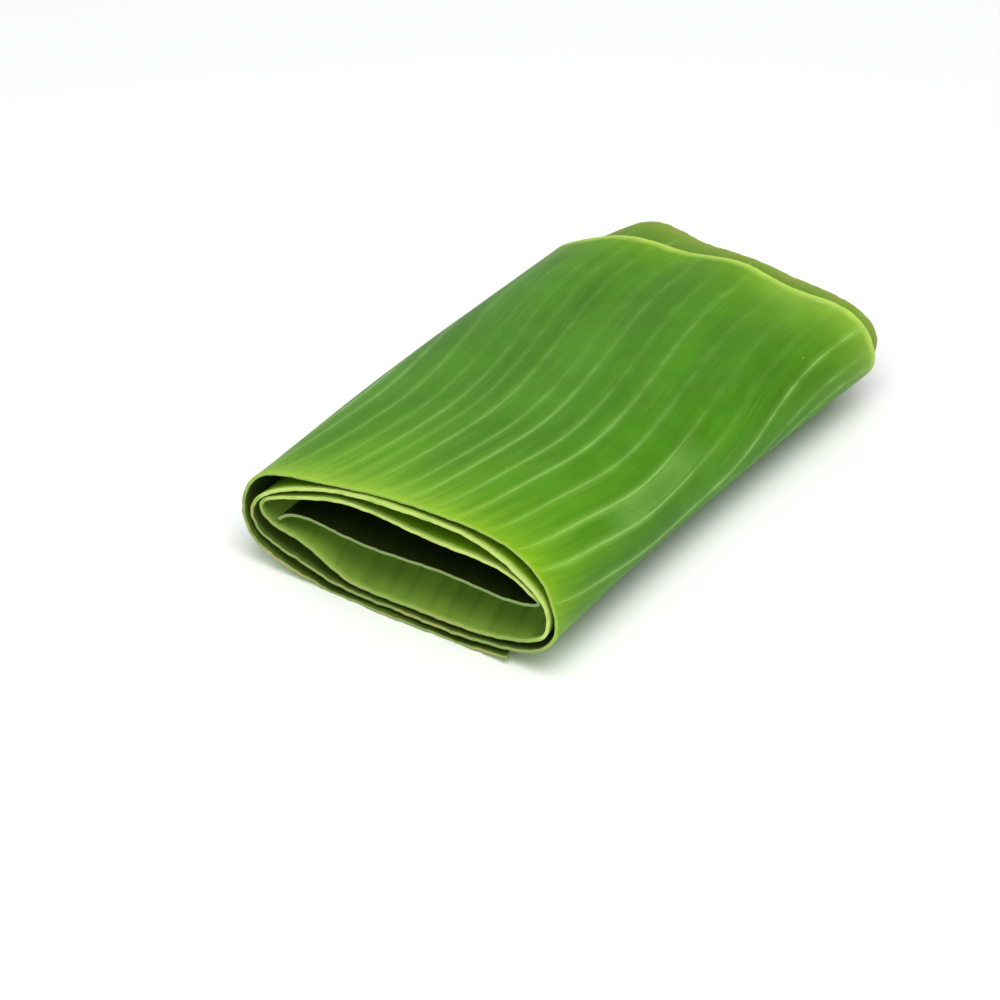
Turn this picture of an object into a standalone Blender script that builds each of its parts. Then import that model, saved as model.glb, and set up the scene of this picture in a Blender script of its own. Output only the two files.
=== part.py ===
"""One banana leaf, cut from its midrib and folded flat over and over into a packet.

The piece is half of a leaf's blade: one long strip whose side veins run along the packet. The front of
the packet (-Y) is the cut along the midrib and its back (+Y) is the leaf's natural margin. The strip
starts as a flap inside the packet, and each pass across it lies outside the one before. It ends on the
underside, where the outer pass lies flat on the table. Units are metres, +Z is up, and the origin is
under the middle of the packet.
"""

import math

import bmesh
import bpy
import numpy as np

MM = 0.001

# The packet
LENGTH = 300 * MM  # from the cut to the margin, on the outer turn
FAR_SPREAD = 0.05  # share by which the back is wider than the front
FAR_SHIFT = -4 * MM  # how far the back lies to the side of the front
FAR_DROP = 0.185  # share by which the back is lower than the open front
FAR_LIFT_RIGHT = 0.15  # how much less than that the right side drops
FAR_SINK_LEFT = 0.09  # and how much more the left side
HALF_WIDTH = 95 * MM
WAIST_RIGHT = 5 * MM  # how far the right side draws in halfway along
BELLY_LEFT = 2 * MM  # how far the left side stands out there

# The blade
BLADE = 0.9 * MM
CUT_RIM = 2.1 * MM  # thickness at the cut, where a little of the midrib stays on
MARGIN_RIM = 0.7 * MM
RIM_TAPER = 5 * MM  # how far in the rims reach

# The waved edges
RIPPLE = 2 * MM
RIPPLE_PITCH = 66 * MM
RIPPLE_CREST = 12 * MM
RIPPLE_REACH = 70 * MM  # how far the ripple runs in from the margin
FLARE = 4 * MM  # how far up a high part of the margin turns where it stands out by FLARE_REACH
FLARE_REACH = 20 * MM
SCALLOP = 1.4 * MM  # how much the margin goes in and out
SCALLOP_PITCH = 118 * MM
CUT_WANDER = 0.7 * MM
CUT_WANDER_PITCH = 83 * MM

# The strip's outer end is torn along a side vein, which bends at the cut, sweeps towards the leaf's base
# between two shares of the length, and bends back at the margin
VEIN_BEND_AT_CUT = 20 * MM
CUT_BEND_REACH = 42 * MM
VEIN_SWEEP = 30 * MM
SWEEP_FROM = 0.28
SWEEP_TO = 0.93
VEIN_BEND_AT_MARGIN = 12 * MM
MARGIN_BEND_REACH = 12 * MM
TEAR_SPREAD = 60 * MM  # how far in from that end the mesh follows the tear

# The underside touches the table at its two front corners, at one place at its back and on a flat patch in
# the middle, and bows up a little between them. Widths and places across are those at the cut.
SOLE_BOW = 0.8 * MM
FRONT_MIDDLE = -2.5 * MM
FRONT_REACH = 37 * MM  # from there to each front corner
BACK_TOUCH = 6 * MM
BACK_REACH = 25 * MM  # how far to each side of that place the back rises
PATCH_REACH = 11 * MM  # how far the flat patch reaches to each side
PATCH_EDGE = 12 * MM  # the width over which it passes into the bow
PATCH_MIDDLE = 0.54  # as shares of the packet's length
PATCH_SHARE = 0.15
PATCH_END = 0.12

# The mesh
FLAT_STEP = 12.5 * MM
TURN_STEP = math.radians(20)
CURVE_SAMPLES = 6000
ROW_PLACES = (0, 0.007, 0.022, 0.06, 0.14, 0.26, 0.4, 0.54, 0.68, 0.8, 0.89, 0.96, 1)

# The strip at the packet's open front, from its inner end to its outer end, in millimetres. Each pass has
# its name, how far its cut edge stands forward, and the points that the middle of the blade runs through,
# with the turn that follows it. A point is x, z, and how far the margin stands out at the back there.
PASSES = (
    ("flap", -1.0, ((-76.4, 32.4, 5), (-72, 36, 5), (-62, 38.8, 5), (-38, 38, 5), (2, 38.4, 5), (42, 39.2, 5),
                    (76, 40.6, 6), (84.5, 44, 7))),
    ("inner top", 0.5, ((80.5, 48.8, 8), (67, 55, 9), (44, 58.2, 9), (10, 59, 9), (-26, 60, 9),
                        (-46, 57.4, 8), (-66, 50.6, 7), (-81, 44, 6))),
    ("inner floor", 0.0, ((-87.6, 36.2, 5), (-80.6, 28.6, 5), (-60, 24.6, 6), (-37, 14, 6), (-14, 10.2, 6),
                          (24, 11.8, 6), (58, 13.8, 8), (77, 18.4, 10))),
    ("middle top", 1.5, ((89, 27, 10), (92, 37.5, 12), (88, 48.5, 14), (67, 62, 14.5), (40, 69.6, 12.2),
                         (8, 70.6, 11.5), (-30, 66.4, 20.8), (-60, 58.6, 18.5), (-83, 46.6, 5))),
    ("middle floor", 0.5, ((-92.6, 32, 7), (-87.6, 20.6, 7), (-66, 13.8, 8), (-34, 6.8, 8), (0, 5.8, 8),
                           (36, 7.2, 8), (64, 9.4, 7), (84, 15.4, 5))),
    ("outer top", 0.0, ((95, 28, 2), (95.4, 42, 0), (87.4, 58.6, 0), (67, 71.2, 0), (34, 76, 2), (0, 73.6, 1),
                        (-40, 68.2, 3), (-72, 62, -2), (-89.6, 53.4, -5))),
    ("outer floor", 0.8, ((-97, 39, -2), (-94.4, 21, 0), (-79, 9.6, 2), (-58, 3.4, 3), (-36, -0.4, 3),
                          (-8, -0.6, 3), (22, -0.4, 3), (44, 1.6, 3), (62, 4, 3), (76, 6.6, 3))),
)

LEAF_GREEN = (0.085, 0.26, 0.022, 1.0)
LEAF_ROUGHNESS = 0.42


def clear_scene():
    for thing in list(bpy.data.objects):
        bpy.data.objects.remove(thing)


def smooth_through(points, count):
    """Points evenly along a curve with smooth curvature that runs through the given points."""
    chords = np.linalg.norm(np.diff(points[:, :2], axis=0), axis=1)
    knots = np.concatenate([[0], np.cumsum(chords**0.6)])
    gaps = np.diff(knots)
    slopes = np.diff(points, axis=0) / gaps[:, None]
    last = len(knots) - 1
    system = np.eye(last + 1)
    wanted = np.zeros_like(points)
    for i in range(1, last):
        system[i, i - 1 : i + 2] = gaps[i - 1], 2 * (gaps[i - 1] + gaps[i]), gaps[i]
        wanted[i] = 6 * (slopes[i] - slopes[i - 1])
    bends = np.linalg.solve(system, wanted)

    def curve_at(places):
        k = np.clip(np.searchsorted(knots, places, side="right") - 1, 0, last - 1)
        gap = gaps[k][:, None]
        before = (places - knots[k])[:, None]
        after = (knots[k + 1] - places)[:, None]
        cubic = (bends[k] * after**3 + bends[k + 1] * before**3) / (6 * gap)
        start = (points[k] / gap - bends[k] * gap / 6) * after
        return cubic + start + (points[k + 1] / gap - bends[k + 1] * gap / 6) * before

    dense = curve_at(np.linspace(0, knots[-1], 4 * count))
    run = np.concatenate([[0], np.cumsum(np.linalg.norm(np.diff(dense[:, :2], axis=0), axis=1))])
    even = np.linspace(0, run[-1], count)
    return even, np.stack([np.interp(even, run, column) for column in dense.T], axis=1)


def strip_outline():
    """The rolled strip at the front: places along it, and x, z, cut edge forward and margin out there."""
    rows = [(x, z, forward, out) for _, forward, path in PASSES for x, z, out in path]
    places, curve = smooth_through(np.array(rows) * MM, CURVE_SAMPLES)
    curve[:, 1] = np.maximum(curve[:, 1], BLADE / 2)
    return places, curve


def column_places(places, curve):
    """Places along the strip for the mesh's columns: close together in the turns and wide on the flats."""
    heading = np.unwrap(np.arctan2(np.gradient(curve[:, 1]), np.gradient(curve[:, 0])))
    spent = np.diff(places) / FLAT_STEP + np.abs(np.diff(heading)) / TURN_STEP
    total = np.concatenate([[0], np.cumsum(spent)])
    count = math.ceil(total[-1])
    return np.interp(np.linspace(0, total[-1], count + 1), total, places)


def ease(share):
    return share * share * (3 - 2 * share)


def vein_bend(along):
    """How far a side vein lies towards the leaf's base at a share of the packet's length."""
    at_cut = VEIN_BEND_AT_CUT * np.exp(-along * LENGTH / CUT_BEND_REACH)
    sweep = VEIN_SWEEP * ease(np.clip((along - SWEEP_FROM) / (SWEEP_TO - SWEEP_FROM), 0, 1))
    at_margin = VEIN_BEND_AT_MARGIN * np.exp(-(1 - along) * LENGTH / MARGIN_BEND_REACH)
    return at_cut + sweep - at_margin


def blade_thickness(along):
    at_cut = np.exp(-along * LENGTH / RIM_TAPER)
    at_margin = np.exp(-(1 - along) * LENGTH / RIM_TAPER)
    return BLADE + (CUT_RIM - BLADE) * at_cut + (MARGIN_RIM - BLADE) * at_margin


def sole_height(x, along):
    """How high the underside lies above the table at a place across the cut and a share of the length."""
    lengthwise = 1 - (2 * along - 1) ** 2
    front = np.maximum(1 - ((x - FRONT_MIDDLE) / FRONT_REACH) ** 2, 0) * (1 - along)
    back = np.minimum(((x - BACK_TOUCH) / BACK_REACH) ** 2, 1) * along
    beside_patch = np.clip((np.abs(x) - PATCH_REACH) / PATCH_EDGE, 0, 1)
    beyond_patch = np.clip((np.abs(along - PATCH_MIDDLE) - PATCH_SHARE) / PATCH_END, 0, 1)
    return SOLE_BOW * (lengthwise + front + back) * np.minimum(np.hypot(beside_patch, beyond_patch), 1)


def middle_of_blade(place, along, outline):
    """A point on the blade's middle surface, for arrays of places along the strip and along its length."""
    places, curve = outline
    x, z, forward, out = (np.interp(place, places, column) for column in curve.T)
    top = curve[:, 1].max()
    high = z - BLADE / 2
    closing = ease(along)
    side = x / HALF_WIDTH
    waist = np.where(side > 0, WAIST_RIGHT, BELLY_LEFT) * side**2 * np.sin(math.pi * along)
    lean = np.where(side > 0, FAR_LIFT_RIGHT, FAR_SINK_LEFT) * side**5
    drop = FAR_DROP * closing - lean * closing**2
    ripple_share = np.exp(-(1 - along) * LENGTH / RIPPLE_REACH) * (high / top) ** 2
    ripple = RIPPLE * np.cos(2 * math.pi * (x - RIPPLE_CREST) / RIPPLE_PITCH) * ripple_share
    cut = -LENGTH / 2 - forward + CUT_WANDER * np.sin(2 * math.pi * place / CUT_WANDER_PITCH)
    margin = LENGTH / 2 + out + SCALLOP * np.sin(2 * math.pi * place / SCALLOP_PITCH)
    y = cut + (margin - cut) * along
    flare = FLARE * (high / top) * (np.maximum(y - LENGTH / 2, 0) / FLARE_REACH) ** 2
    return np.stack(
        [
            x * (1 + FAR_SPREAD * closing) + FAR_SHIFT * closing - waist,
            y,
            BLADE / 2 + high * (1 - drop) + ripple + flare,
        ],
        axis=-1,
    )


def blade_grids():
    """The blade's two faces as grids of points, columns across the strip and rows along the packet."""
    outline = strip_outline()
    torn_end = outline[0][-1]
    columns = column_places(*outline)
    rows = np.array(ROW_PLACES)
    bend = vein_bend(rows)
    follow = np.exp(-(((columns - torn_end) / TEAR_SPREAD) ** 2))
    place = columns[:, None] + follow[:, None] * (bend - bend.max())
    along = np.broadcast_to(rows, place.shape)
    middle = middle_of_blade(place, along, outline)
    lowest = sole_height(np.interp(place, outline[0], outline[1][:, 0]), along)
    on_table = middle[..., 2] <= BLADE / 2 + lowest
    middle[..., 2] = np.maximum(middle[..., 2], BLADE / 2 + lowest)
    across = np.gradient(middle, axis=0)
    lengthwise = np.gradient(middle, axis=1)
    normal = np.cross(across, lengthwise)
    normal /= np.linalg.norm(normal, axis=-1, keepdims=True)
    half = blade_thickness(along)[..., None] / 2
    inward = middle + normal * half
    outward = middle - normal * half
    inward[..., 2] = np.maximum(inward[..., 2], lowest)
    outward[..., 2] = np.where(on_table, lowest, np.maximum(outward[..., 2], lowest))
    return inward, outward


def sheet_mesh(name, faces):
    """A closed sheet from its two faces. Both are split into the same triangles, so they never cross."""
    columns, rows = faces[0].shape[:2]
    bm = bmesh.new()
    sides = [[[bm.verts.new(p) for p in column] for column in face] for face in faces]
    for side, grid in enumerate(sides):
        for i in range(columns - 1):
            for j in range(rows - 1):
                a, b, c, d = grid[i][j], grid[i + 1][j], grid[i + 1][j + 1], grid[i][j + 1]
                for corners in ((a, b, c), (a, c, d)):
                    bm.faces.new(corners if side == 0 else corners[::-1])
    rim = [(i, 0) for i in range(columns)] + [(columns - 1, j) for j in range(1, rows)]
    rim += [(i, rows - 1) for i in range(columns - 2, -1, -1)] + [(0, j) for j in range(rows - 2, 0, -1)]
    for (i, j), (k, m) in zip(rim, rim[1:] + rim[:1]):
        bm.faces.new((sides[1][i][j], sides[1][k][m], sides[0][k][m], sides[0][i][j]))
    bmesh.ops.recalc_face_normals(bm, faces=bm.faces)
    mesh = bpy.data.meshes.new(name)
    bm.to_mesh(mesh)
    bm.free()
    return mesh


def leaf_material():
    material = bpy.data.materials.new("leaf_green")
    material.use_nodes = True
    shader = material.node_tree.nodes["Principled BSDF"]
    shader.inputs["Base Color"].default_value = LEAF_GREEN
    shader.inputs["Roughness"].default_value = LEAF_ROUGHNESS
    shader.inputs["Metallic"].default_value = 0.0
    return material


def centre_over_origin(faces):
    """Moves the leaf so that the origin is under the middle of its box."""
    points = np.concatenate([face.reshape(-1, 3) for face in faces])
    middle = (points.min(axis=0) + points.max(axis=0)) / 2
    middle[2] = 0
    return [face - middle for face in faces]


def build_leaf():
    mesh = sheet_mesh("banana_leaf", centre_over_origin(blade_grids()))
    mesh.shade_smooth()
    mesh.set_sharp_from_angle(angle=math.radians(50))
    mesh.materials.append(leaf_material())
    leaf = bpy.data.objects.new("banana_leaf", mesh)
    bpy.context.scene.collection.objects.link(leaf)


clear_scene()
build_leaf()
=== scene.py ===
"""A strip of banana leaf, cut along its midrib and folded over and over into a packet, on a pale floor.

The packet's front (-Y) is the cut along the midrib and its back (+Y) is the leaf's natural margin. Sizes
are in metres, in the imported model's frame: +Z is up and the origin is under the middle of the packet.
"""

import math

import bpy
import numpy as np
from mathutils import Matrix, Vector


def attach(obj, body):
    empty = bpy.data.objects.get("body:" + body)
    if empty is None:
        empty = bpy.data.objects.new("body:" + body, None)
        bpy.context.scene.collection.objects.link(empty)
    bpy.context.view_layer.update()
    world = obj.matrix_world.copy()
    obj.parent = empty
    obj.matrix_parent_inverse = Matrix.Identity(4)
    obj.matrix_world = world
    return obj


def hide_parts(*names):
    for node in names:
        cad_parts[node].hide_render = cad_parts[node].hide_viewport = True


bl_info = {
    "name": "Folded banana leaf",
    "version": (1, 0, 0),
    "blender": (4, 5, 0),
    "location": "3D View > Sidebar > Banana Leaf",
    "description": "Builds a folded packet of banana leaf with its side veins, its margin and a small stage",
    "category": "Add Mesh",
}

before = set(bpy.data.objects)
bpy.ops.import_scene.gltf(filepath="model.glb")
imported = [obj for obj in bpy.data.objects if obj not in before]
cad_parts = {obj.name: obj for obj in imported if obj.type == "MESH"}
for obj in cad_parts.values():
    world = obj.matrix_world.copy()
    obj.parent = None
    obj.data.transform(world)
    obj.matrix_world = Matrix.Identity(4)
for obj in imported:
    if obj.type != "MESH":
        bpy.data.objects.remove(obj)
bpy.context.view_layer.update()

MM = 0.001

# The packet, as it is packed
LENGTH = 300 * MM
FAR_SPREAD = 0.05
FAR_SHIFT = -4 * MM
FAR_DROP = 0.185
FAR_LIFT_RIGHT = 0.15
FAR_SINK_LEFT = 0.09
HALF_WIDTH = 95 * MM
WAIST_RIGHT = 5 * MM
BELLY_LEFT = 2 * MM
BLADE = 0.9 * MM
RIPPLE = 2 * MM
RIPPLE_PITCH = 66 * MM
RIPPLE_CREST = 12 * MM
RIPPLE_REACH = 70 * MM
FLARE = 4 * MM
FLARE_REACH = 20 * MM
SCALLOP = 1.4 * MM
SCALLOP_PITCH = 118 * MM
CUT_WANDER = 0.7 * MM
CUT_WANDER_PITCH = 83 * MM
VEIN_BEND_AT_CUT = 20 * MM
CUT_BEND_REACH = 42 * MM
VEIN_SWEEP = 30 * MM
SWEEP_FROM = 0.28
SWEEP_TO = 0.93
VEIN_BEND_AT_MARGIN = 12 * MM
MARGIN_BEND_REACH = 12 * MM
START_SPREAD = 60 * MM  # how far from the straight inner end the veins take on their bend
SOLE_BOW = 0.8 * MM
FRONT_MIDDLE = -2.5 * MM
FRONT_REACH = 37 * MM
BACK_TOUCH = 6 * MM
BACK_REACH = 25 * MM
PATCH_REACH = 11 * MM
PATCH_EDGE = 12 * MM
PATCH_MIDDLE = 0.54
PATCH_SHARE = 0.15
PATCH_END = 0.12
CURVE_SAMPLES = 6000
DENSE_SAMPLES = 4 * CURVE_SAMPLES
KNOT_POWER = 0.6  # how much more of the curve's parameter long stretches take than short ones
BOX_ROWS = 41
BOX_STEP = 6

# The strip at the open front, pass by pass from its inner end: how far the cut edge stands forward, and
# the points it runs through, in millimetres, each with how far the margin stands out at the back
PASSES = (
    ("flap", -1.0, ((-76.4, 32.4, 5), (-72, 36, 5), (-62, 38.8, 5), (-38, 38, 5), (2, 38.4, 5), (42, 39.2, 5),
                    (76, 40.6, 6), (84.5, 44, 7))),
    ("inner top", 0.5, ((80.5, 48.8, 8), (67, 55, 9), (44, 58.2, 9), (10, 59, 9), (-26, 60, 9),
                        (-46, 57.4, 8), (-66, 50.6, 7), (-81, 44, 6))),
    ("inner floor", 0.0, ((-87.6, 36.2, 5), (-80.6, 28.6, 5), (-60, 24.6, 6), (-37, 14, 6), (-14, 10.2, 6),
                          (24, 11.8, 6), (58, 13.8, 8), (77, 18.4, 10))),
    ("middle top", 1.5, ((89, 27, 10), (92, 37.5, 12), (88, 48.5, 14), (67, 62, 14.5), (40, 69.6, 12.2),
                         (8, 70.6, 11.5), (-30, 66.4, 20.8), (-60, 58.6, 18.5), (-83, 46.6, 5))),
    ("middle floor", 0.5, ((-92.6, 32, 7), (-87.6, 20.6, 7), (-66, 13.8, 8), (-34, 6.8, 8), (0, 5.8, 8),
                           (36, 7.2, 8), (64, 9.4, 7), (84, 15.4, 5))),
    ("outer top", 0.0, ((95, 28, 2), (95.4, 42, 0), (87.4, 58.6, 0), (67, 71.2, 0), (34, 76, 2), (0, 73.6, 1),
                        (-40, 68.2, 3), (-72, 62, -2), (-89.6, 53.4, -5))),
    ("outer floor", 0.8, ((-97, 39, -2), (-94.4, 21, 0), (-79, 9.6, 2), (-58, 3.4, 3), (-36, -0.4, 3),
                          (-8, -0.6, 3), (22, -0.4, 3), (44, 1.6, 3), (62, 4, 3), (76, 6.6, 3))),
)

# The side veins of the outer top from the right turn to the left one: where each lies along the strip, in
# millimetres, a third of the way to the back, and how strong it is at the front and at the back
TOP_VEINS = (
    (948, 0.3, 0.5), (964, 0.8, 0.85), (982, 1.0, 0.2), (997, 0.9, 0.2), (1015, 0.6, 0.25), (1034, 0.7, 0.4),
    (1048.5, 0.6, 0.2), (1065.5, 0.7, 0.3), (1078, 0.5, 0.15), (1096, 0.6, 0.3), (1108, 0.35, 0.25),
    (1118.5, 0.55, 0.2), (1131, 0.35, 0.15), (1146, 0.45, 0.3),
)
TOP_VEINS_AT = 0.333
BEND_SAMPLES = 400

# The other side veins' strengths at the front and at the back, and how near the last may come to the next
FRONT_STRENGTHS = (0.45, 0.9)
BACK_STRENGTHS = (0.25, 0.7)
LAST_GAP = 0.7

# The soft dashes that the side veins fade into towards the back
DASH_SEED = 1000
DASH_PITCHES = (11 * MM, 19 * MM, 34 * MM)
FALL_FROM = 0.25
FALL_LENGTH = 0.4
DASH_AT_FRONT = 0.08
DASH_GAIN = 0.22

# Where the side veins stray from their common course, in millimetres: the place along the strip, the
# distance from the cut, how far they stray, and how far that reaches across the veins and along them
STRAYS = ((1000, 45, 2.6, 90, 32), (964, 175, -6, 18, 38), (1030, 300, 8, 130, 14))

# For each pass: how pale its cut is, how dry it is, how pale its outward side is beside the cut, the painted
# shade and light on its inward side (a factor on its colour: below 1 painted shade deep in the hollow, above
# 1 painted light), how much its side veins show, how fresh its margin is and how uneven its edges are. Two
# values are for the pass's start and its end.
LOOKS = ("pale_cut", "dry_cut", "pale_beside_cut", "painted_shade_and_light", "vein_show", "fresh_margin", "ragged")
PASS_LOOKS = {
    "flap": (0.0, 0.0, 0.0, 0.18, 0.05, 0.3, 1.0),
    "inner top": (0.9, 0.0, 0.9, 0.18, 0.1, 0.4, 1.0),
    "inner floor": (0.25, 0.6, 0.3, 2.8, 0.1, 0.4, 1.3),
    "middle top": (0.9, 0.0, 0.9, 1.0, 0.8, (0.3, 0.2), 1.2),
    "middle floor": (0.15, 1.0, 0.1, 0.8, 0.3, 0.4, 1.7),
    "outer top": (0.5, 0.0, 0.0, 1.2, 1.0, 1.0, 1.0),
    "outer floor": (0.15, 1.0, 0.1, 0.9, 1.0, 0.5, 1.7),
}
SHAPE_LOOKS = ("vein_show", "ragged")  # the looks that no finish reads

# The unevenness of the hand-cut edges
JAG = 0.09 * MM
JAG_PITCHES = (6 * MM, 9.5 * MM, 15 * MM, 27 * MM)

# How the blade arches between two side veins: their usual distance, the least and greatest height for other
# distances, the arch's shape, and how much of it is left inside and at the margin
USUAL_GAP = 15 * MM
ARCH_LIMITS = (0.5, 1.25)
ARCH_POWER = 0.7
ARCH_MIDDLE = 0.55
ARCH_INSIDE = 0.55
ARCH_CUT_REACH = 60 * MM
ARCH_AT_MARGIN = 0.35
ARCH_MARGIN_REACH = 40 * MM

# Rounding of the edges: how far in it reaches, and the share of the thickness that the edge itself keeps
CUT_ROUND = 0.3 * MM
CUT_LIP = 0.8
MARGIN_ROUND = 0.35 * MM
MARGIN_LIP = 0.4

VEIN_LINE_WIDTH = 1.7 * MM  # of the lines over the side veins: upper side pale, under side painted pleat shade
SHARP_TURN = math.radians(50)  # between faces that are shaded apart

# The cords of the side veins: rows that they leave free at both edges, how far they take to rise there, how
# far they lie out of the blade's middle, and how far apart the lines are that give their outward direction
FREE_ROWS = 3
CORD_RISE = 2 * MM
CORD_RISE_FROM = 0.25
CORD_LEAN = 0.14 * MM
CORD_FIT = 0.985
CORD_BESIDE = 0.4 * MM

# The cord in the margin: how far it lies in from the edge, and how its thickness wanders
MARGIN_CORD_IN = 0.25 * MM
MARGIN_CORD_BESIDE = 2 * MM
MARGIN_CORD_SWING = 0.25
MARGIN_CORD_WAVES = (9 * MM, 31 * MM)

# Rows of the mesh near the cut and near the margin, by their distance from it in millimetres
EDGE_ROWS = (0, 0.1, 0.25, 0.5, 1, 2, 3.5, 5.5, 8, 11.5, 16)
MIDDLE_ROWS = 34
LEAST_COLUMNS = 6  # between two side veins

# A painted highlight between two side veins, where a broad pleat catches the light: its columns, how far
# from the cut it lies and how softly it ends
PLEAT_HIGHLIGHT_COLUMNS = (1009.5 * MM, 1023 * MM)
PLEAT_HIGHLIGHT_ROWS = (55 * MM, 160 * MM)
PLEAT_HIGHLIGHT_SIDE_FADE = 2 * MM
PLEAT_HIGHLIGHT_END_FADE = 30 * MM

# The grains in the finishes: how many features a metre has across the side veins and along them, how fine
# their detail goes, and a shift that keeps them apart
GRAINS = {
    "fibres": (900.0, 22.0, 3.0, 0.0), "tone and pleat shade": (42.0, 5.0, 2.0, 3.0), "blotches": (90.0, 60.0, 3.0, 7.0),
    "fringe": (210.0, 9.0, 3.0, 13.0), "flecks": (420.0, 120.0, 2.0, 11.0),
    "specks": (330.0, 190.0, 1.0, 17.0), "clouds": (26.0, 15.0, 2.0, 43.0),
    "dry margin": (60.0, 60.0, 3.0, 23.0), "cut patches": (60.0, 20.0, 2.0, 31.0),
    "cut ends": (1100.0, 40.0, 2.0, 37.0), "dry cut": (22.0, 8.0, 3.0, 41.0),
    "vein fibres": (900.0, 60.0, 2.0, 5.0),
}
GRAIN_ROUGHNESS = 0.55
GRAIN_HEIGHT = 0.3 * MM

# Between which values of its grain or look a colour comes in
FADES = {
    "tone and pleat shade": (0.35, 0.68), "young behind": (-0.4, 1.0), "dark fibres": (0.52, 0.8),
    "pale fibres": (0.5, 0.22), "flecks": (0.58, 0.7), "specks": (0.77, 0.82), "dry margin": (0.45, 0.6),
    "cut patches": (0.5, 0.75), "cut ends": (0.52, 0.75), "dry cut": (0.45, 0.6), "vein fibres": (0.5, 0.75),
}

# How strongly a colour is laid on where it is strongest
SHARES = {
    "young": 0.75, "young behind": 0.7, "veins": 0.65, "fresh behind": 0.45, "sunny": 0.4,
    "dark fibres": 0.16, "pale fibres": 0.12, "pleat highlight": 0.25, "flecks": 0.45, "specks": 0.4,
    "dry margin": 0.75, "aged": 0.6, "browned": 0.33, "cut ends": 0.35, "young vein": 0.5,
    "pale vein": 0.9, "vein fibres": 0.35,
}
CUT_DRY_SHARE = 0.75
MARGIN_DRY_SHARE = 0.3

# How far in from the cut or the margin colours reach, and the columns between which they come in
YOUNG_BEHIND = 0.5  # of their reach at the cut
# Between these columns the colour beside the cut turns paler towards the left: a painted sheen
PALE_SHEEN_COLUMNS = (1.03, 1.1)
SUNNY_COLUMNS = (1.08, 1.03)
SUNNY_REACH = 15 * MM
# How far in from the cut the painted shade on the inward side reaches
PAINTED_CUT_SHADE_REACH = 40 * MM
AGED_REACH = 40 * MM
BROWNED_REACH = 12 * MM
CUT_CORE = 0.3  # of the pale reach
MARGIN_WANDER = 4 * MM

DARKEST = 0.4  # of the deep green, in the painted shade over the side veins and near the cut
FRINGE = 3.2  # how unevenly the colours beside the cut end
CLOUD_SHARE = 0.55
BLOTCH_SHARE = 0.3
AGELESS = 1.1  # the fresh_margin look at which a margin would show no age
STRONG_VEIN = 0.75
BLADE_ROUGHNESS_SWING = 0.12
VEIN_ROUGHNESS = 0.38
VEIN_ROUGHNESS_SWING = 0.16
CUT_GRAIN = 0.4

# The stage: where the lights stand from the packet, how wide they are and their colours
LIGHT_AIM = (0, 0, 30 * MM)
LIGHT_DISTANCE = 2.2
MAIN_LIGHT = ((0.28, -0.3, 0.91), 1.6, (1.0, 0.99, 0.97))
LOW_LIGHT = ((-0.68, 0.64, 0.36), 1.3, (0.84, 0.94, 1.0))
FRONT_LIGHT = ((0.1, -0.96, 0.3), 0.9, (1.0, 0.99, 0.95))
FLOOR_REACH = 6.0
FLOOR_DIM = 0.985
CAMERA_TARGET = (-25.2, -23.31, -7.19)  # millimetres, in the frame that the strip is drawn in
SENSOR = 36.0
VIEW_END = 50.0

OUTWARD, INWARD, CUT_EDGE, MARGIN_EDGE = range(4)
HAIR = 1e-9


# Shape of the rolled strip


def smooth_through(points):
    """Points evenly along a curve with smooth curvature that runs through the given points."""
    chords = np.linalg.norm(np.diff(points[:, :2], axis=0), axis=1)
    knots = np.concatenate([[0], np.cumsum(chords**KNOT_POWER)])
    gaps = np.diff(knots)
    slopes = np.diff(points, axis=0) / gaps[:, None]
    last = len(knots) - 1
    system = np.eye(last + 1)
    wanted = np.zeros_like(points)
    for i in range(1, last):
        system[i, i - 1 : i + 2] = gaps[i - 1], 2 * (gaps[i - 1] + gaps[i]), gaps[i]
        wanted[i] = 6 * (slopes[i] - slopes[i - 1])
    bends = np.linalg.solve(system, wanted)

    def curve_at(places):
        k = np.clip(np.searchsorted(knots, places, side="right") - 1, 0, last - 1)
        gap = gaps[k][:, None]
        before = (places - knots[k])[:, None]
        after = (knots[k + 1] - places)[:, None]
        cubic = (bends[k] * after**3 + bends[k + 1] * before**3) / (6 * gap)
        start = (points[k] / gap - bends[k] * gap / 6) * after
        return cubic + start + (points[k + 1] / gap - bends[k + 1] * gap / 6) * before

    dense = curve_at(np.linspace(0, knots[-1], DENSE_SAMPLES))
    run = np.concatenate([[0], np.cumsum(np.linalg.norm(np.diff(dense[:, :2], axis=0), axis=1))])
    even = np.linspace(0, run[-1], CURVE_SAMPLES)
    return even, np.stack([np.interp(even, run, column) for column in dense.T], axis=1)


def strip_outline():
    """The rolled strip at the front: places along it, and x, z, cut edge forward and margin out there."""
    rows = [(x, z, forward, out) for _, forward, path in PASSES for x, z, out in path]
    places, curve = smooth_through(np.array(rows) * MM)
    curve[:, 1] = np.maximum(curve[:, 1], BLADE / 2)
    return places, curve


def ease(share):
    return share * share * (3 - 2 * share)


def vein_bend(along):
    """How far a side vein lies towards the leaf's base at a share of the packet's length."""
    at_cut = VEIN_BEND_AT_CUT * np.exp(-along * LENGTH / CUT_BEND_REACH)
    sweep = VEIN_SWEEP * ease(np.clip((along - SWEEP_FROM) / (SWEEP_TO - SWEEP_FROM), 0, 1))
    at_margin = VEIN_BEND_AT_MARGIN * np.exp(-(1 - along) * LENGTH / MARGIN_BEND_REACH)
    return at_cut + sweep - at_margin


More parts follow.
